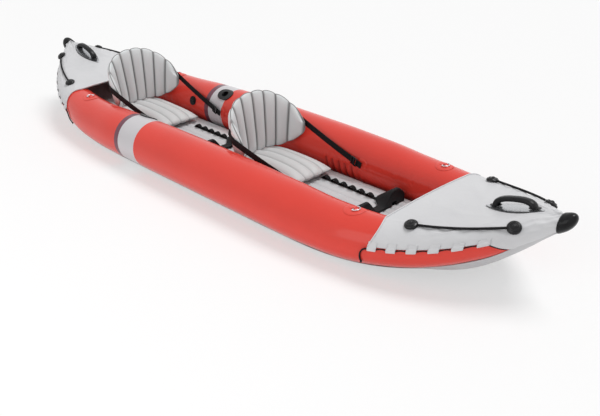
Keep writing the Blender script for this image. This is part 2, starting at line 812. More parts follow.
class KAYAK_OT_bottom(bpy.types.Operator):
    """Bottom sheet, drawn up round the chambers towards the noses"""
    bl_idname = "kayak.bottom"
    bl_label = "Bottom sheet"

    def execute(self, context):
        f = form()
        end = f.mouth - 0.004
        lift = f.gap + f.sheet / 2
        # share of the half width that lies between the chambers
        flat = 0.4
        sag_depth, sag_place, sag_spread = 0.034, 1.6, 0.17

        def wrap(x):
            """Angle on the chamber that the sheet's edge comes up to."""
            q = abs(x) / f.half
            return mix(-57, -70, clip((q - 0.6) / 0.15)) + 35 * clip((q - 0.84) / 0.075) ** 1.6

        def sag(x):
            """How far the sheet hangs below the chambers under a deck."""
            return sag_depth * bump(abs(x) - sag_place, sag_spread) * clip((end - abs(x)) / 0.08)

        def place(u, v):
            x = mix(-end, end, v)
            s = 2 * u - 1
            side = -1 if s < 0 else 1
            s = abs(s)
            if s < flat:
                return Vector((x, side * f.side(x) * s / flat, f.keel(x) - lift - sag(x)))
            t = (s - flat) / (1 - flat)
            p = f.skin(x, mix(-90, wrap(x), t), lift + sag(x) * (1 - t) ** 1.3)
            p.y *= side
            return p
        sheet = grid("bottom_sheet_skin", 60, 150, place, turn=False)
        thicken(sheet, f.sheet)
        settle(sheet, finish("bottom"), "hull", "grey_pvc", "bottom_sheet")
        return {"FINISHED"}


class KAYAK_OT_floor(bpy.types.Operator):
    """Inflated floor of lengthwise tubes with cross welds"""
    bl_idname = "kayak.floor"
    bl_label = "Inflated floor"

    def execute(self, context):
        f = form()
        h = context.scene.kayak_hull
        n, half = h.floor_tubes, h.floor_length / 2
        rows, cells = 132, n * 12 + 8
        groove, weld_depth, weld_pitch = 0.009, 0.0016, 0.22

        def place(u, v):
            i = round(v * rows)
            x = mix(-half, half, clip((i - 1) / (rows - 2)))
            low, top = f.keel(x) + 0.0002, f.floor_top(x)
            w = f.inner(x, top) - f.gap
            if i in (0, rows):
                return Vector((x, 0, (low + top) / 2))
            j = round(u * cells)
            if j < 2 or j > cells - 6:
                return under(x, w, low, top, j)
            t = (j - 2) / (cells - 8)
            ridge = abs(math.sin(math.pi * n * t)) ** 0.55
            edge = 1 - 0.5 * (abs(2 * t - 1) ** 24)
            weld = weld_depth * bump(((x + 10) % weld_pitch) - weld_pitch / 2, 0.006) * ridge
            return Vector((x, w * (2 * t - 1), low + (top - low) * edge - groove * (1 - ridge) - weld))

        def under(x, w, low, top, j):
            if j < 2:
                return Vector((x, -w, mix(low, mix(low, top, 0.5), j / 2)))
            t = (j - (cells - 6)) / 6
            if j <= cells - 5:
                return Vector((x, w, mix(mix(low, top, 0.5), low, clip(j - (cells - 6)))))
            return Vector((x, mix(w, -w, (t - 1 / 6) / (5 / 6)), low))
        piece = grid("floor_skin", cells, rows, place)
        settle(piece, finish("floor"), "hull", "grey_pvc", "floor_chamber")
        return {"FINISHED"}


# folds of a deck cover: where each starts and ends, along the deck and across it, its rise and its width
DECK_FOLDS = ((0.97, -0.06, 0.72, -0.27, 0.005, 0.013), (0.97, -0.16, 0.6, -0.46, 0.0045, 0.014),
              (0.97, 0.15, 0.66, 0.36, 0.0045, 0.013), (0.95, -0.34, 0.72, -0.66, 0.004, 0.013),
              (0.2, -0.06, 0.5, -0.33, 0.0035, 0.02), (0.12, 0.34, 0.42, 0.08, 0.0035, 0.02),
              (0.3, -0.74, 0.6, -0.6, 0.0035, 0.015), (0.06, -0.5, 0.34, -0.32, 0.0035, 0.018),
              (0.74, -0.8, 0.93, -0.5, 0.0035, 0.012), (0.93, 0.32, 0.72, 0.62, 0.0035, 0.013),
              (0.3, 0.72, 0.58, 0.6, 0.0035, 0.015), (0.42, 0.3, 0.68, 0.2, 0.003, 0.018),
              (0.3, -0.2, 0.62, -0.26, 0.003, 0.022), (0.05, 0.1, 0.2, -0.2, 0.003, 0.02))
# length and half width in metres of a deck cover laid flat, for its folds
FOLD_LENGTH, FOLD_WIDTH = 0.64, 0.5


def tab_row(h):
    """From the nose to the middle of the aftmost lacing tab, and the pitch of the tabs."""
    first = h.deck_length - h.tab_width / 2 - 0.004
    return first, (first - h.tab_end) / (h.tabs - 1)


class KAYAK_OT_decks(bpy.types.Operator):
    """Deck covers: a sheet over both chambers with welded lacing tabs, a bound edge and pulled folds"""
    bl_idname = "kayak.decks"
    bl_label = "Deck covers"

    def execute(self, context):
        f = form()
        h = context.scene.kayak_hull
        end = f.mouth + 0.006
        lift = f.gap
        # share of the half width that lies between the chambers
        flat = 0.42

        def folds(x, s):
            """Soft pulls that run from the nose cap back over the cover, crumpled beside the cap."""
            t = clip((x - f.edge) / (end - f.edge))
            pull = 0.003 * t ** 3 * (math.sin(17 * s + 2.0) + 0.6 * math.sin(41 * s + 9 * t))
            near = clip((t - 0.72) / 0.28) ** 2
            crumple = 0.0045 * near * math.sin(58 * t + 23 * s) * math.sin(11 * s + 31 * t)
            sag = -0.004 * math.sin(math.pi * t) * bump(s, 0.3) * (1 - t)
            ripple = 0.0026 * math.sin(60 * t + 4 * s) * bump(abs(s) - 0.62, 0.16) * (1 - t) * t * 3
            return pull + crumple + sag + ripple + creases(t, s) + 0.0022 * (t > 0)

        def creases(t, s):
            """Single folds, each a ridge that fades at both ends."""
            high = 0.0
            p = Vector((t * FOLD_LENGTH, s * FOLD_WIDTH))
            for t0, s0, t1, s1, rise, width in DECK_FOLDS:
                a = Vector((t0 * FOLD_LENGTH, s0 * FOLD_WIDTH))
                b = Vector((t1 * FOLD_LENGTH, s1 * FOLD_WIDTH))
                k = clip((p - a).dot(b - a) / (b - a).length_squared)
                high += rise * math.sin(math.pi * k) * bump((p - a.lerp(b, k)).length, width)
            return high

        def place(u, v):
            s = 2 * u - 1
            side = -1 if s < 0 else 1
            m = abs(s)
            round_share = (m - flat) / (1 - flat)
            x = mix(f.open_edge(mix(90, f.EDGE_ANGLE, clip(round_share))), end, v)
            up = max(lift, lift + folds(x, s))
            if m < flat:
                y = f.side(x) * m / flat
                p = Vector((x, y, f.deck_z(x, y, up)))
            else:
                a = mix(90, f.hang(x), round_share)
                p = f.skin(x, a, max(up, lift + 0.0034 * clip((8 - a) / 6)))
            p.y *= side
            return p
        cover = grid("bow_deck_sheet", 150, 100, place, turn=False)
        parts = [cover]
        first, pitch = tab_row(h)
        for i in range(h.tabs):
            x0 = f.half - first + i * pitch
            for side in (1, -1):
                parts.append(self.tab(f, x0, h.tab_width, side, f"tab_{i}_{side}"))
        sheet = join("bow_deck_sheet", parts)
        thicken(sheet, f.deck * 0.8, offset=1)
        hem = self.hem(f, "bow_deck_hem")
        wide = 2 * (f.side(f.edge) + math.pi / 2 * f.radius(f.edge)) + 0.05
        stern_sheet = mirrored(sheet, "stern_deck_sheet", 0)
        stern_hem = mirrored(hem, "stern_deck_hem", 0)
        for name, s, e in (("bow", sheet, hem), ("stern", stern_sheet, stern_hem)):
            settle(s, finish("grey"), "hull", "grey_pvc", f"{name}_deck_cover")
            settle(e, finish("grey"), "hull", "grey_pvc")
        return {"FINISHED"}

    def tab(self, f, x0, width, side, name):
        """Rounded tab that sleeves the lacing below the cover's edge."""
        top, fold, bottom = 22, 13.5, 1
        flat, sleeve = f.gap + 0.0016, 0.0078

        def place(u, v):
            a = mix(top, bottom, v)
            out = mix(flat, sleeve, clip((fold - a) / 5.5))
            corner = 0.08 * clip((v - 0.8) / 0.2) ** 2
            x = x0 + width * (u - 0.5) * (1 - corner)
            p = f.skin(x, a, out)
            p.y *= side
            return p
        piece = grid(name, 6, 12, place, turn=False)
        if side < 0:
            in_edit_mode(piece, bpy.ops.mesh.flip_normals)
        return piece

    def hem(self, f, name):
        """Bound edge along the cover's opening."""
        inset, r = 0.003, 0.0034
        port = [f.skin(f.open_edge(a) + inset, a, f.gap + r) for a in range(12, 91, 3)]
        x = f.edge + inset
        for y in [f.side(x) * (1 - k / 10) for k in range(1, 11)]:
            port.append(Vector((x, y, f.deck_z(x, y, f.gap + r))))
        path = port + [flipped(p, (1, -1, 1)) for p in reversed(port[:-1])]
        return tube(name, path, r, corners=8)


class KAYAK_OT_noses(bpy.types.Operator):
    """Rounded rubber nose caps with a moulded lip"""
    bl_idname = "kayak.noses"
    bl_label = "Nose caps"

    def execute(self, context):
        f = form()
        h = context.scene.kayak_hull
        mouth, long = f.mouth, h.cap_length
        inside = f.radius(mouth) + 2 * f.gap + f.deck
        out = inside + 0.0036
        slope = (f.height(mouth) - f.height(mouth - 0.01)) / 0.01
        rows = 30

        def axis(x):
            return f.height(min(x, mouth)) + max(0, x - mouth) * slope

        def place(u, v):
            i = round(v * rows)
            a = 2 * math.pi * u
            if i == 0:
                x, r = mouth + 0.02, 0.0
            elif i == 1:
                x, r = mouth + 0.02, inside
            elif i == 2:
                x, r = mouth, inside
            else:
                t = (i - 3) / (rows - 3)
                bend = math.sin(math.pi / 2 * t)
                x = mouth + long * bend
                r = 0.0 if i == rows else out * (1 - bend ** 2.6) ** 0.5 + 0.0012 * bump(t - 0.06, 0.05)
            y = 0 if abs(math.cos(a)) < 1e-6 else math.copysign(f.side(x) if r else 0, math.cos(a))
            return Vector((x, y + r * math.cos(a), axis(x) + r * math.sin(a)))
        bow = grid("bow_nose_rubber", 48, rows, place)
        settle_pair(bow, "stern_nose_rubber", 0, finish("rubber"), "rubber", "bow_nose_cap", "stern_nose_cap")
        return {"FINISHED"}


class KAYAK_OT_handles(bpy.types.Operator):
    """Carry handles: arched grips on pointed oval patches"""
    bl_idname = "kayak.handles"
    bl_label = "Carry handles"

    def execute(self, context):
        f = form()
        x0, long, wide = f.half - 0.268, 0.272, 0.104
        lift = f.gap + f.deck + 0.0014

        def place(u, v):
            t = 0.002 + 0.996 * v
            x = x0 + (t - 0.5) * long
            y = (2 * u - 1) * max(0.0005, wide / 2 * math.sin(math.pi * t) ** 0.8)
            rim = 0.0012 * (1 - abs(2 * u - 1) ** 8)
            return Vector((x, y, f.deck_z(x, y, lift + rim)))
        patch = grid("bow_handle_oval", 24, 60, place, turn=False)
        thicken(patch, 0.0026, offset=1)
        settle_pair(patch, "stern_handle_oval", 0, finish("silver"), "patch",
                    "bow_handle_patch", "stern_handle_patch")
        grip = self.grip(f, x0)
        settle_pair(grip, "stern_handle_grip", 0, finish("grip"), "black_plastic",
                    "bow_handle", "stern_handle")
        return {"FINISHED"}

    def grip(self, f, x0):
        """Broad arched grip whose ends spread into feet on the patch."""
        half, high, low = 0.0865, 0.037, 0.005
        tilt = math.atan((f.deck_z(x0 + half, 0, 0) - f.deck_z(x0 - half, 0, 0)) / (2 * half))
        base = f.deck_z(x0, 0, f.gap * 2 + f.deck + 0.0036)
        steps = 60

        def local(x, y, z):
            fore, up = math.cos(tilt), math.sin(tilt)
            return Vector((x0 + x * fore - z * up, y, base + x * up + z * fore))

        def power(c, k):
            return math.copysign(abs(c) ** k, c)

        def line(k):
            b = math.pi * k / steps
            return -half * power(math.cos(b), 0.8), low + (high - low) * math.sin(b) ** 0.8

        def place(u, v):
            k = round(v * (steps + 2)) - 1
            i = min(steps, max(0, k))
            (xa, za), (xb, zb) = line(max(0, i - 1)), line(min(steps, i + 1))
            t = math.hypot(xb - xa, zb - za)
            nx, nz = -(zb - za) / t, (xb - xa) / t
            x, z = line(i)
            end = 1 - math.sin(math.pi * i / steps)
            thick, wide = (0.0, 0.0) if k in (-1, steps + 1) else (0.0115 + 0.002 * end, 0.0175 + 0.002 * end)
            b = 2 * math.pi * u
            d = thick * power(math.sin(b), 0.7)
            return local(x + nx * d, wide * power(math.cos(b), 0.7), z + nz * d)
        parts = [grid("bow_handle_grip", 28, steps + 2, place)]
        thick_foot = 0.0046
        for side in (1, -1):
            def foot(u, v):
                p = egg(u, v, 0.028, 0.019, thick_foot)
                return local(side * (half + 0.004) + p.x, p.y, thick_foot + p.z)
            parts.append(grid("foot", 28, 12, foot))
        return join("bow_handle_grip", parts)


class KAYAK_OT_deck_cords(bpy.types.Operator):
    """Elastic deck cords, and the rims of the bosses that hold them"""
    bl_idname = "kayak.deck_cords"
    bl_label = "Deck cords"

    def execute(self, context):
        f = form()
        bosses = [(f.half - back, angle) for back, angle in (AFT_BOSS, FORE_BOSS)]
        start, stop = bosses[0][0] + 0.026, bosses[1][0] - 0.012
        r, slack = 0.0055, 0.0012
        lift = f.gap * 2 + f.deck + r + slack
        path = []
        for t in [k / 24 for k in range(25)]:
            path.append(f.skin(mix(start, stop, t), mix(74, 47, t) + 4 * math.sin(math.pi * t), lift))
        bow_port = tube("bow_port_bungee_cord", path, r, corners=12)
        for corner, piece in at_corners(bow_port, "bungee_cord").items():
            settle(piece, finish("braid"), "hull", "cord", f"{corner}_bungee")
        dress(finish("gloss"), "bow_bosses", "stern_bosses")
        port = [self.rim(f, x, angle) for x, angle in bosses]
        bow = join("bow_boss_rims", port + [mirrored(r, "rim", 1) for r in port])
        stern = mirrored(bow, "stern_boss_rims", 0)
        for piece in (bow, stern):
            settle(piece, finish("black"), "hull", "black_plastic")
        return {"FINISHED"}

    def rim(self, f, x, a):
        """Raised ring and knob on a boss."""
        along = (f.skin(x + 0.01, a) - f.skin(x - 0.01, a)).normalized()
        out = Vector((0, math.cos(math.radians(a)), math.sin(math.radians(a))))
        out = (out - along * out.dot(along)).normalized()
        across = out.cross(along)
        seat = f.skin(x, a, f.gap * 2 + f.deck + 0.0006)

        def place(r, z, b):
            return seat + out * z + r * (along * math.cos(b) + across * math.sin(b))

        def ring(u, v):
            b, c = 2 * math.pi * u, 2 * math.pi * v
            return place(0.0185 + 0.0028 * math.cos(c), 0.0137 + 0.0028 * math.sin(c), b)

        def knob(u, v):
            b, c = 2 * math.pi * u, math.pi * v
            return place(0.0085 * math.sin(c), 0.0165 + 0.005 * math.cos(c), b)
        return join("rim", [grid("ring", 36, 10, ring), grid("knob", 24, 10, knob)])


class KAYAK_OT_lacing(bpy.types.Operator):
    """Lacing through the tabs' sleeves, and the knotted tail that hangs from it"""
    bl_idname = "kayak.lacing"
    bl_label = "Lacing cords"

    def execute(self, context):
        f = form()
        h = context.scene.kayak_hull
        first, pitch = tab_row(h)
        x0 = f.half - first - h.tab_width / 2
        x1 = f.half - h.tab_end + h.tab_width
        last = 1.724
        # gap to the skin, and radius of the cord and of its tail
        off, r, thick = 0.0009, 0.0025, 0.0036
        # the cord's angle on the chamber in a tab, and how far the tail falls and swings aft
        low, drop, aft = 4.5, 0.075, 0.04
        below_edge = 2.6
        lift = off + r
        run = []
        cells = 90
        for k in range(cells + 1):
            x = mix(x0, x1, k / cells)
            phase = (x - (f.half - first)) / pitch
            slack = 1 if phase > h.tabs - 0.5 else ((1 - math.cos(2 * math.pi * phase)) / 2) ** 1.5
            run.append(f.skin(x, min(low + 2.9 * slack, f.hang(x) - below_edge), lift))
        for x in [mix(x1, last, k / 14) for k in range(1, 15)]:
            run.append(f.skin(x, f.hang(x) - below_edge, lift))
        lace = tube("bow_port_lacing_cord", run, r, corners=8)
        radius = f.radius(x0)
        tail = []
        for t in [k / 16 for k in range(17)]:
            angle = low - math.degrees(drop * t ** 2.4 / radius)
            tail.append(f.skin(x0 - aft * math.sin(math.pi / 2 * t), angle, off + thick))
        free = tube("bow_port_lacing_tail", tail, thick, corners=10)

        def tied(u, v):
            twist = 0.0012 * math.sin(4 * math.pi * u) * math.sin(math.pi * v)
            return tail[-1] + egg(u, v, 0.0058, 0.0036, 0.0072) + Vector((0, 0, twist))
        knot = grid("bow_port_lacing_knot", 12, 10, tied)
        cords = at_corners(lace, "lacing_cord")
        tails = at_corners(free, "lacing_tail")
        knots = at_corners(knot, "lacing_knot")
        for corner, cord in cords.items():
            signs = (-1 if "stern" in corner else 1, -1 if "starboard" in corner else 1, 1)
            settle(cord, finish("braid"), "hull", "cord", f"{corner}_lacing")
            settle(tails[corner], finish("braid"), "hull", "cord")
            settle(knots[corner], finish("braid"), "hull", "cord")
        return {"FINISHED"}


class KAYAK_OT_rings(bpy.types.Operator):
    """Round patches and webbing sleeves of the lifting rings"""
    bl_idname = "kayak.rings"
    bl_label = "Lifting rings"

    def execute(self, context):
        f = form()
        x0, r = 1.075, 0.048
        low = f.gap + 0.0007

        def place(u, v):
            a, k = 2 * math.pi * u, v
            thick = 0.0022 * (1 - k ** 10)
            x, w = x0 + r * k * math.cos(a), r * k * math.sin(a)
            return f.skin(x, 90 - math.degrees(w / f.radius(x)), low + thick)
        parts = [grid("patch_round", 40, 14, place, turn=False)]
        bar = low + 0.0016 + 0.0049
        centre = f.skin(x0, 90, bar)
        bend, over = 0.0043, 0.3

        def sleeve(u, v):
            """Strip of webbing folded over the ring's bar and sewn down fore and aft of it."""
            s = 2 * v - 1
            y = (u - 0.5) * 0.023
            if abs(s) < over:
                a = s / over * math.pi / 2
                return centre + Vector((bend * math.sin(a), y, bend * math.cos(a)))
            t = (abs(s) - over) / (1 - over)
            x = math.copysign(bend + 0.02 * t, s)
            return centre + Vector((x, y, mix(0.0, -bar + low + 0.0029, clip(t * 3.0))))
        strip = grid("patch_sleeve", 4, 40, sleeve, turn=False)
        apply(strip, "SOLIDIFY", "thickness", thickness=0.0009, offset=1)
        parts.append(strip)
        rounds = at_corners(join("bow_port_ring_patch", parts), "ring_patch")
        piece = join("ring_patch_rounds", list(rounds.values()))
        settle(piece, finish("patch_red"), "hull", "red_pvc", "ring_patches")
        dress(finish("steel"), *[f"{corner}_ring" for corner in rounds])
        return {"FINISHED"}


class KAYAK_OT_fittings(bpy.types.Operator):
    """Finish of the moulded fittings: rod holders, valves, skeg base and strap buckles"""
    bl_idname = "kayak.fittings"
    bl_label = "Moulded fittings"

    def execute(self, context):
        dress(finish("gloss"), "port_rod_holder", "starboard_rod_holder")
        dress(finish("black"), "port_valve", "starboard_valve", "floor_valve",
              "port_valve_cap", "starboard_valve_cap", "floor_valve_cap", "skeg_base", "strap_buckles")
        return {"FINISHED"}


def wave(u, n, power=0.7):
    return abs(math.sin(math.pi * n * u)) ** power


def swell(u):
    return max(0.0, 1 - abs(2 * u - 1) ** 3) ** 0.5


class SeatForm:
    """Laws of a seat: its cushion and the fan of its backrest."""
    # height of a cushion's rim, as a share of the cushion's height
    SEAM = 0.4

    def __init__(self, s, x0):
        self.s, self.x0, self.hull = s, x0, form()
        self.hinge_u = s.tail / 2 / (s.tail + s.reach)
        self.hinge_x = x0 - s.tail / 2
        self.hinge_z = self.cushion(self.hinge_u, 0.5, True).z + 0.0006
        self.low_r = s.half + 0.034
        self.deep = 1.08

    def cushion(self, u, v, upper, full=1.0):
        s = self.s
        draw = 0.007 * (1 - wave(v, s.tubes))
        x = mix(self.x0 - s.tail + draw, self.x0 + s.reach - draw, u)
        y = s.half * (2 * v - 1) * (1 - 0.05 * abs(2 * u - 1) ** 6)
        z = self.hull.floor_top(x) + 0.0006 + s.height * self.SEAM
        fill = swell(u) * swell(v)
        if upper:
            crown = 0.009 * math.sin(math.pi * v) * math.sin(math.pi * u)
            z += (s.height * (1 - self.SEAM) + crown) * fill * full
            z -= 0.013 * (1 - wave(v, s.tubes)) * fill
        else:
            z -= 0.003 + (s.height * self.SEAM - 0.003) * fill
        return Vector((x, y, z))

    def back_middle(self, s, t, notch=0.0):
        """Middle of the fan: s from -1 to 1 across it, t from its lower to its upper edge."""
        tall, q = self.s.back_height, min(1.0, abs(s))
        a = self.turn(q)
        low = 0.06 * clip((q - 0.55) / 0.45) ** 1.5
        high = tall * mix(0.5, 1, (1 - q * q) ** 0.9)
        full = mix(0.3, 1, math.sqrt(1 - clip((q - 0.8) / 0.2) ** 2))
        h = (low + high) / 2 + (high - low) * (t - 0.5) * full
        h -= (2 * t - 1) ** 3 * notch * (1 - wave((s + 1) / 2, self.s.back_tubes, 0.6))
        r = mix(self.low_r, self.low_r + 0.056, clip(h / tall))
        x = self.hinge_x + self.deep * r * (1 - math.cos(a) ** (2 / 3))
        x -= 0.016 * h / tall + (r - self.low_r) * 0.35
        return Vector((x, math.copysign(r * math.sin(a) ** (2 / 3), s), self.hinge_z + h))

    def turn(self, q):
        return math.radians(80) * q ** 1.5

    def back(self, u, t, front, full=1.0, groove=0.5, notch=0.0):
        s = 2 * u - 1
        a = self.turn(abs(s))
        fill = max(0.0, 1 - abs(2 * t - 1) ** 4) ** 0.5 * max(0.0, 1 - abs(s) ** 10) ** 0.5
        fill *= mix(groove, 1, wave(u, self.s.back_tubes)) * full
        half = 0.001 + (self.s.back / 2 - 0.001) * fill
        aside = -self.deep * math.copysign(math.sin(a) ** (4 / 3), s)
        out = Vector((math.cos(a) ** (4 / 3), aside, 0)).normalized()
        return self.back_middle(s, t, notch) + (half if front else -half) * out


def seat_forms():
    s = seats()
    return [("front", SeatForm(s, s.front)), ("rear", SeatForm(s, s.front - s.pitch))]


def rim_path(place, along, across):
    """Closed path round a surface, place(u, v), in so many steps along each side."""
    path = [place(k / along, 0) for k in range(along + 1)]
    path += [place(1, k / across) for k in range(1, across + 1)]
    path += [place(1 - k / along, 1) for k in range(1, along + 1)]
    return path + [place(0, 1 - k / across) for k in range(1, across + 1)]


def pillow(name, across, along, place, pins, pressure, cap):
    """Pad of two grids sewn along their rim, place(u, v, upper), and filled with air between its pins."""
    halves = []
    for upper in (True, False):
        halves.append(grid(f"{name}_{upper}", across, along, lambda u, v: place(u, v, upper), turn=False))
    pad = join(name, halves)
    close_up(pad, weld=0.0025)
    held = [v.index for v in pad.data.vertices if pins(v.co)]
    fill_with_air(pad, held, pressure, cap)
    smooth(pad)
    return pad


class KAYAK_OT_seats(bpy.types.Operator):
    """Inflated cushions and fan-shaped backrests with welded channels and piped rims"""
    bl_idname = "kayak.seats"
    bl_label = "Seats"

    def execute(self, context):
        for name, seat in seat_forms():
            self.cushion(name, seat)
            self.backrest(name, seat)
        return {"FINISHED"}

    def ease(self, t, k=1.6):
        """Rows that crowd towards both rims."""
        s = 2 * t - 1
        return (math.copysign(1 - (1 - abs(s)) ** k, s) + 1) / 2

    def cushion(self, name, seat):
        s = seat.s

        def place(u, v, upper):
            return seat.cushion(self.ease(v), u, upper, 0.95)

        def pins(p):
            seam = abs(((p.y / (2 * s.half) + 0.5) * s.tubes + 0.5) % 1 - 0.5) < 0.045
            low = p.z < seat.hull.floor_top(p.x) + s.height * seat.SEAM + 0.002
            return seam or low
        pad = pillow(f"{name}_cushion_pad", 84, 60, place, pins, 5.0, 0.006)
        above = Vector((0, 0, 0.0015))
        rim = rim_path(lambda u, v: seat.cushion(u, v, False) + above, 30, 40)
        piping = tube(f"{name}_cushion_piping", rim, 0.0032, corners=8)
        settle(pad, finish("cushion"), "hull", "cushion", f"{name}_cushion")
        settle(piping, finish("piping"), "hull", "cushion")

    def backrest(self, name, seat):
        s = seat.s
        body = f"{name}_backrest"
        full, groove, notch = 0.92, 0.2, 0.007

        def place(u, v, upper):
            return seat.back(u, self.ease(v), upper, full, groove, notch)
        seams = []
        for u in [k / s.back_tubes for k in range(1, s.back_tubes)]:
            for t in [k / 24 for k in range(25)]:
                seams += [seat.back(u, t, front, full, groove, notch) for front in (True, False)]

        def pins(p):
            return min((p - q).length for q in seams) < 0.009
        pad = pillow(f"{name}_backrest_pad", 128, 44, place, pins, 5.0, 0.005)
        rim = rim_path(lambda u, v: seat.back_middle(2 * u - 1, 1 - v, notch), 120, 16)
        piping = tube(f"{name}_backrest_piping", rim, 0.0028, corners=8)
        settle(pad, finish("backrest"), body, "cushion", body)
        settle(piping, finish("piping"), body, "cushion")


class KAYAK_OT_straps(bpy.types.Operator):
    """Seat straps with sewn ends, blended between hull and backrest, and their anchor patches"""
    bl_idname = "kayak.straps"
    bl_label = "Seat straps"
    web_thickness = 0.0016
    # an anchor's place before the seat's back edge, its height, its patch and its web's distance off the skin
    anchor_ahead, anchor_height, anchor_radius = 0.545, 0.16, 0.035
    anchor_off = 0.0057

    def execute(self, context):
        made = []
        for name, seat in seat_forms():
            for side_name, side in (("port", 1), ("starboard", -1)):
                made.append(self.one(name, seat, side_name, side))
        tabs = join("strap_anchor_tabs", [tab for tab, disc in made])
        discs = join("strap_anchor_patches", [disc for tab, disc in made])
        settle(tabs, finish("webbing"), "hull", "webbing", "strap_anchors")
        settle(discs, finish("red"), "hull", "red_pvc")
        return {"FINISHED"}

    def one(self, name, seat, side_name, side):
        s, f = seat.s, seat.hull
        ax, az = seat.x0 + self.anchor_ahead, self.anchor_height
        top = seat.back(WING_ACROSS, WING_UP, False) + Vector((0, 0.0056, 0))
        low = Vector((ax - 0.06, f.inner(ax, az) - self.anchor_off, az + 0.014))
        t = (low - top).normalized()
        n = t.cross(Vector((0, 0, 1)).cross(t).normalized())
        flip = Vector((1, side, 1))

        def web(a, b, name, rows, sag=0.0):
            def place(u, v):
                p = a.lerp(b, v) + n * (u - 0.5) * s.strap
                p.z -= sag * math.sin(math.pi * v)
                return flipped(p, flip)
            piece = grid(name, 6, rows, place, turn=False)
            thicken(piece, self.web_thickness)
            return piece
        strap = web(top, low, f"{name}_{side_name}_strap_web", rows=60, sag=0.004)
        strap = join(f"{name}_{side_name}_strap_web", [strap, self.hug(seat, top, n, flip)])
        strap.data.materials.clear()
        strap.data.materials.append(finish("webbing"))
        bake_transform(strap)
        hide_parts(f"{name}_{side_name}_strap")
        reach = (low - top).length
        far = top + t * (reach + 0.022)
        tab = web(far, far + t * 0.04, "anchor_tab", rows=8)
        angle = 180 - math.degrees(math.asin((az - f.height(ax)) / f.radius(ax)))

        def patch(u, v):
            a, r = 2 * math.pi * u, self.anchor_radius * v
            x, d = ax + r * math.cos(a), r * math.sin(a)
            lift = f.gap + 0.0006 + 0.0016 * (1 - v ** 12)
            p = f.skin(x, angle - math.degrees(d / f.radius(x)), lift)
            p.y *= side
            return p
        return tab, grid("anchor_disc", 32, 8, patch, turn=False)

    def hug(self, seat, top, n, flip):
        """End of the strap that is sewn along the outside of the backrest's wing."""
        steps = 18
        off = Vector((-0.0006, 0.0022, 0))
        line = [top]
        for u in [WING_ACROSS - k / 100 for k in range(1, steps + 1)]:
            line.append(seat.back(u, WING_UP - 0.4 * (WING_ACROSS - u), False) + off)

        def place(u, v):
            return flipped(line[round(v * steps)] + n * (u - 0.5) * seat.s.strap, flip)
        piece = grid("sewn", 6, steps, place, turn=False)
        thicken(piece, self.web_thickness)
        return piece


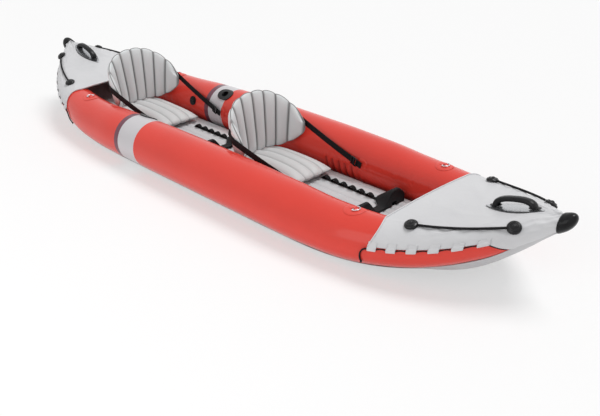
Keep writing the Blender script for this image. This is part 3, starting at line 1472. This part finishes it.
class KAYAK_OT_footrests(bpy.types.Operator):
    """Footrest wedges over their rows of adjusting loops"""
    bl_idname = "kayak.footrests"
    bl_label = "Footrests"
    half_width = 0.19
    # a loop's width, height and share of the pitch; a footrest's flat foot and the rise of its lobes above it
    loop_width, loop_height, loop_share = 0.022, 0.016, 0.7
    sole, lobe_rise = 0.012, 1.2

    def execute(self, context):
        s = seats()
        f = form()
        loop_y = (f.inner(0, f.floor_top(0)) - f.gap) * 4 / context.scene.kayak_hull.floor_tubes
        for name, x in (("front", s.foot), ("rear", s.foot - s.pitch)):
            self.wedge(name, x, s, f, loop_y)
            self.rows(name, x - 0.008 + (0.06 if name == "rear" else 0), s, f, loop_y)
        return {"FINISHED"}

    def wedge(self, name, x0, s, f, loop_y):
        long, high, half = s.foot_length, s.foot_height, self.half_width
        nose, crest = 0.009, 0.012
        base = f.floor_top(x0) + 0.0008

        def arc(cx, cz, r, a0, a1, n):
            turns = [math.radians(mix(a0, a1, k / n)) for k in range(n + 1)]
            return [(cx + r * math.cos(a), cz + r * math.sin(a)) for a in turns]
        slope = arc(-long + nose, nose, nose, 270, 130, 8)
        top = arc(-crest, high - crest, crest, 130, 0, 8)
        a, b = slope[-1], top[0]
        face = [(mix(a[0], b[0], k / 10), mix(a[1], b[1], k / 10)) for k in range(1, 10)]
        front = [(0, mix(high - crest, 0.0, k / 8)) for k in range(1, 9)]
        under = [(mix(0, -long + nose, k / 6), 0.0) for k in range(1, 6)]
        ring = slope + face + top + front + under
        n = len(ring)
        middle = (-long * 0.4, high * 0.36)
        rows = 68

        def place(u, v):
            i = round(v * rows)
            y = mix(-half, half, clip((i - 1) / (rows - 2)))
            if i in (0, rows):
                return Vector((x0 + middle[0], math.copysign(half, y), base + middle[1]))
            px, pz = ring[round(u * n) % n]
            draw = 1 - 0.1 * clip((abs(y) - half + 0.014) / 0.014) ** 2
            t = abs(y) / (2 * half)
            rise = clip((t - 0.05) / 0.21)
            rise = rise * rise * (3 - 2 * rise)
            lobe = rise * (1 - 0.6 * clip((t - 0.34) / 0.16) ** 1.5)
            px = (middle[0] + (px - middle[0]) * draw) * mix(0.4, 1, rise)
            pz = max(0.0, middle[1] + (pz - middle[1]) * draw)
            pz = min(pz, self.sole) + max(0.0, pz - self.sole) * self.lobe_rise * lobe
            return Vector((x0 + px, y, base + pz))
        wedge = grid(f"{name}_footrest_pad", n, rows, place)
        for side in (1, -1):
            clear_selection()
            bpy.ops.mesh.primitive_cube_add(size=1, location=(x0 - long / 2, side * loop_y, base + 0.0095))
            tunnel = bpy.context.object
            tunnel.scale = (long * 1.4, 0.034, 0.0235)
            bpy.ops.object.transform_apply(location=True, rotation=True, scale=True)
            carve(wedge, tunnel)
        pick(wedge)
        bpy.ops.object.shade_smooth_by_angle(angle=math.radians(40))
        settle(wedge, finish("foam"), f"{name}_footrest", "webbing", f"{name}_footrest")

    def rows(self, name, x1, s, f, loop_y):
        pitch = s.loop_run / s.loops
        parts = []
        for side in (1, -1):
            def strip(u, v):
                x = x1 - s.loop_run * (1 - v)
                z = f.floor_top(x) + f.gap + 0.0012
                return Vector((x, side * loop_y + (u - 0.5) * self.loop_width, z))
            parts.append(grid("loop_strip", 4, 60, strip, turn=False))
            for i in range(s.loops):
                x0 = x1 - s.loop_run + (i + (1 - self.loop_share) / 2) * pitch

                def arch(u, v):
                    x = x0 + pitch * self.loop_share * v
                    z = f.floor_top(x) + f.gap + 0.002 + self.loop_height * math.sin(math.pi * v) ** 0.6
                    return Vector((x, side * loop_y + (u - 0.5) * self.loop_width, z))
                parts.append(grid("loop_arch", 4, 14, arch, turn=False))
        piece = join(f"{name}_footrest_loops", parts)
        thicken(piece, 0.0022)
        settle(piece, finish("webbing"), "hull", "webbing", f"{name}_footrest_webbing")


class KAYAK_OT_stage(bpy.types.Operator):
    """Pale floor, soft studio light and the camera"""
    bl_idname = "kayak.stage"
    bl_label = "Stage"

    def execute(self, context):
        scene = context.scene
        scene.view_settings.view_transform = "Standard"
        camera = bpy.data.objects.new("camera", bpy.data.cameras.new("camera"))
        scene.collection.objects.link(camera)
        camera.data.lens, camera.data.sensor_width = 46.0, 36.0
        camera.data.clip_end = 100
        camera.location = (3.0105, -2.6140, 1.7759)
        look = Vector((0.4026, 0.0, -0.0971)) - camera.location
        camera.rotation_euler = look.to_track_quat("-Z", "Y").to_euler()
        scene.camera = camera
        clear_selection()
        bpy.ops.mesh.primitive_plane_add(size=40, location=(0, 0, -0.001))
        floor = context.object
        floor.name = "studio_floor"
        f = Finish("studio floor", 0.9, paints().pale)
        glow = f.node("ShaderNodeEmission", Strength=1.0)
        mixed = f.node("ShaderNodeMixShader")
        f.link(math_node(f.tree, "MULTIPLY", self.seen(f.tree), 0.5), mixed.inputs[0])
        f.link(f.shader.outputs[0], mixed.inputs[1])
        f.link(glow.outputs[0], mixed.inputs[2])
        f.link(mixed.outputs[0], f.tree.nodes["Material Output"].inputs["Surface"])
        floor.data.materials.append(f.material)
        world = bpy.data.worlds.new("studio")
        scene.world = world
        world.use_nodes = True
        back = world.node_tree.nodes["Background"]
        back.inputs["Color"].default_value = (1, 1, 1, 1)
        strength = math_node(world.node_tree, "MULTIPLY_ADD", self.seen(world.node_tree), 0.58, 0.42)
        world.node_tree.links.new(strength, back.inputs["Strength"])
        for name, kind, place, aim, size, power in (
                ("sky", "SUN", (0.6, 1.6, 4.0), (0, 0, 0), math.radians(28), 1.75),
                ("fill", "AREA", (0.8, -5.2, 1.7), (0, 0, 0.2), 4.0, 66)):
            lamp = bpy.data.objects.new(name, bpy.data.lights.new(name, kind))
            scene.collection.objects.link(lamp)
            lamp.data.energy = power
            if kind == "SUN":
                lamp.data.angle = size
            else:
                lamp.data.size = size
            lamp.location = place
            lamp.rotation_euler = (Vector(aim) - Vector(place)).to_track_quat("-Z", "Y").to_euler()
        return {"FINISHED"}

    def seen(self, tree):
        """One for rays that show the backdrop itself, and zero for the light that it gives."""
        rays = tree.nodes.new("ShaderNodeLightPath").outputs
        both = math_node(tree, "MAXIMUM", rays["Is Camera Ray"], rays["Is Glossy Ray"])
        return math_node(tree, "MAXIMUM", both, rays["Is Transmission Ray"])


OPERATORS = (KAYAK_OT_stage, KAYAK_OT_lacing, KAYAK_OT_chambers, KAYAK_OT_bottom, KAYAK_OT_floor,
             KAYAK_OT_decks, KAYAK_OT_noses, KAYAK_OT_handles, KAYAK_OT_deck_cords, KAYAK_OT_rings,
             KAYAK_OT_fittings, KAYAK_OT_seats, KAYAK_OT_straps, KAYAK_OT_footrests)


class KAYAK_PT_panel(bpy.types.Panel):
    """Lists the pieces of the kayak"""
    bl_idname = "KAYAK_PT_panel"
    bl_label = "Inflatable tandem kayak"
    bl_space_type = "VIEW_3D"
    bl_region_type = "UI"
    bl_category = "Kayak"

    def draw(self, context):
        for operator in OPERATORS:
            self.layout.operator(operator.bl_idname)


CLASSES = (KayakHull, KayakSeats, KayakPaint, *OPERATORS, KAYAK_PT_panel)


def register():
    for c in CLASSES:
        bpy.utils.register_class(c)
    bpy.types.Scene.kayak_hull = PointerProperty(type=KayakHull)
    bpy.types.Scene.kayak_seats = PointerProperty(type=KayakSeats)
    bpy.types.Scene.kayak_paint = PointerProperty(type=KayakPaint)


def unregister():
    for name in ("kayak_hull", "kayak_seats", "kayak_paint"):
        delattr(bpy.types.Scene, name)
    for c in reversed(CLASSES):
        bpy.utils.unregister_class(c)


def main():
    register()
    for operator in OPERATORS:
        group, name = operator.bl_idname.split(".")
        getattr(getattr(bpy.ops, group), name)()


if __name__ == "__main__":
    main()
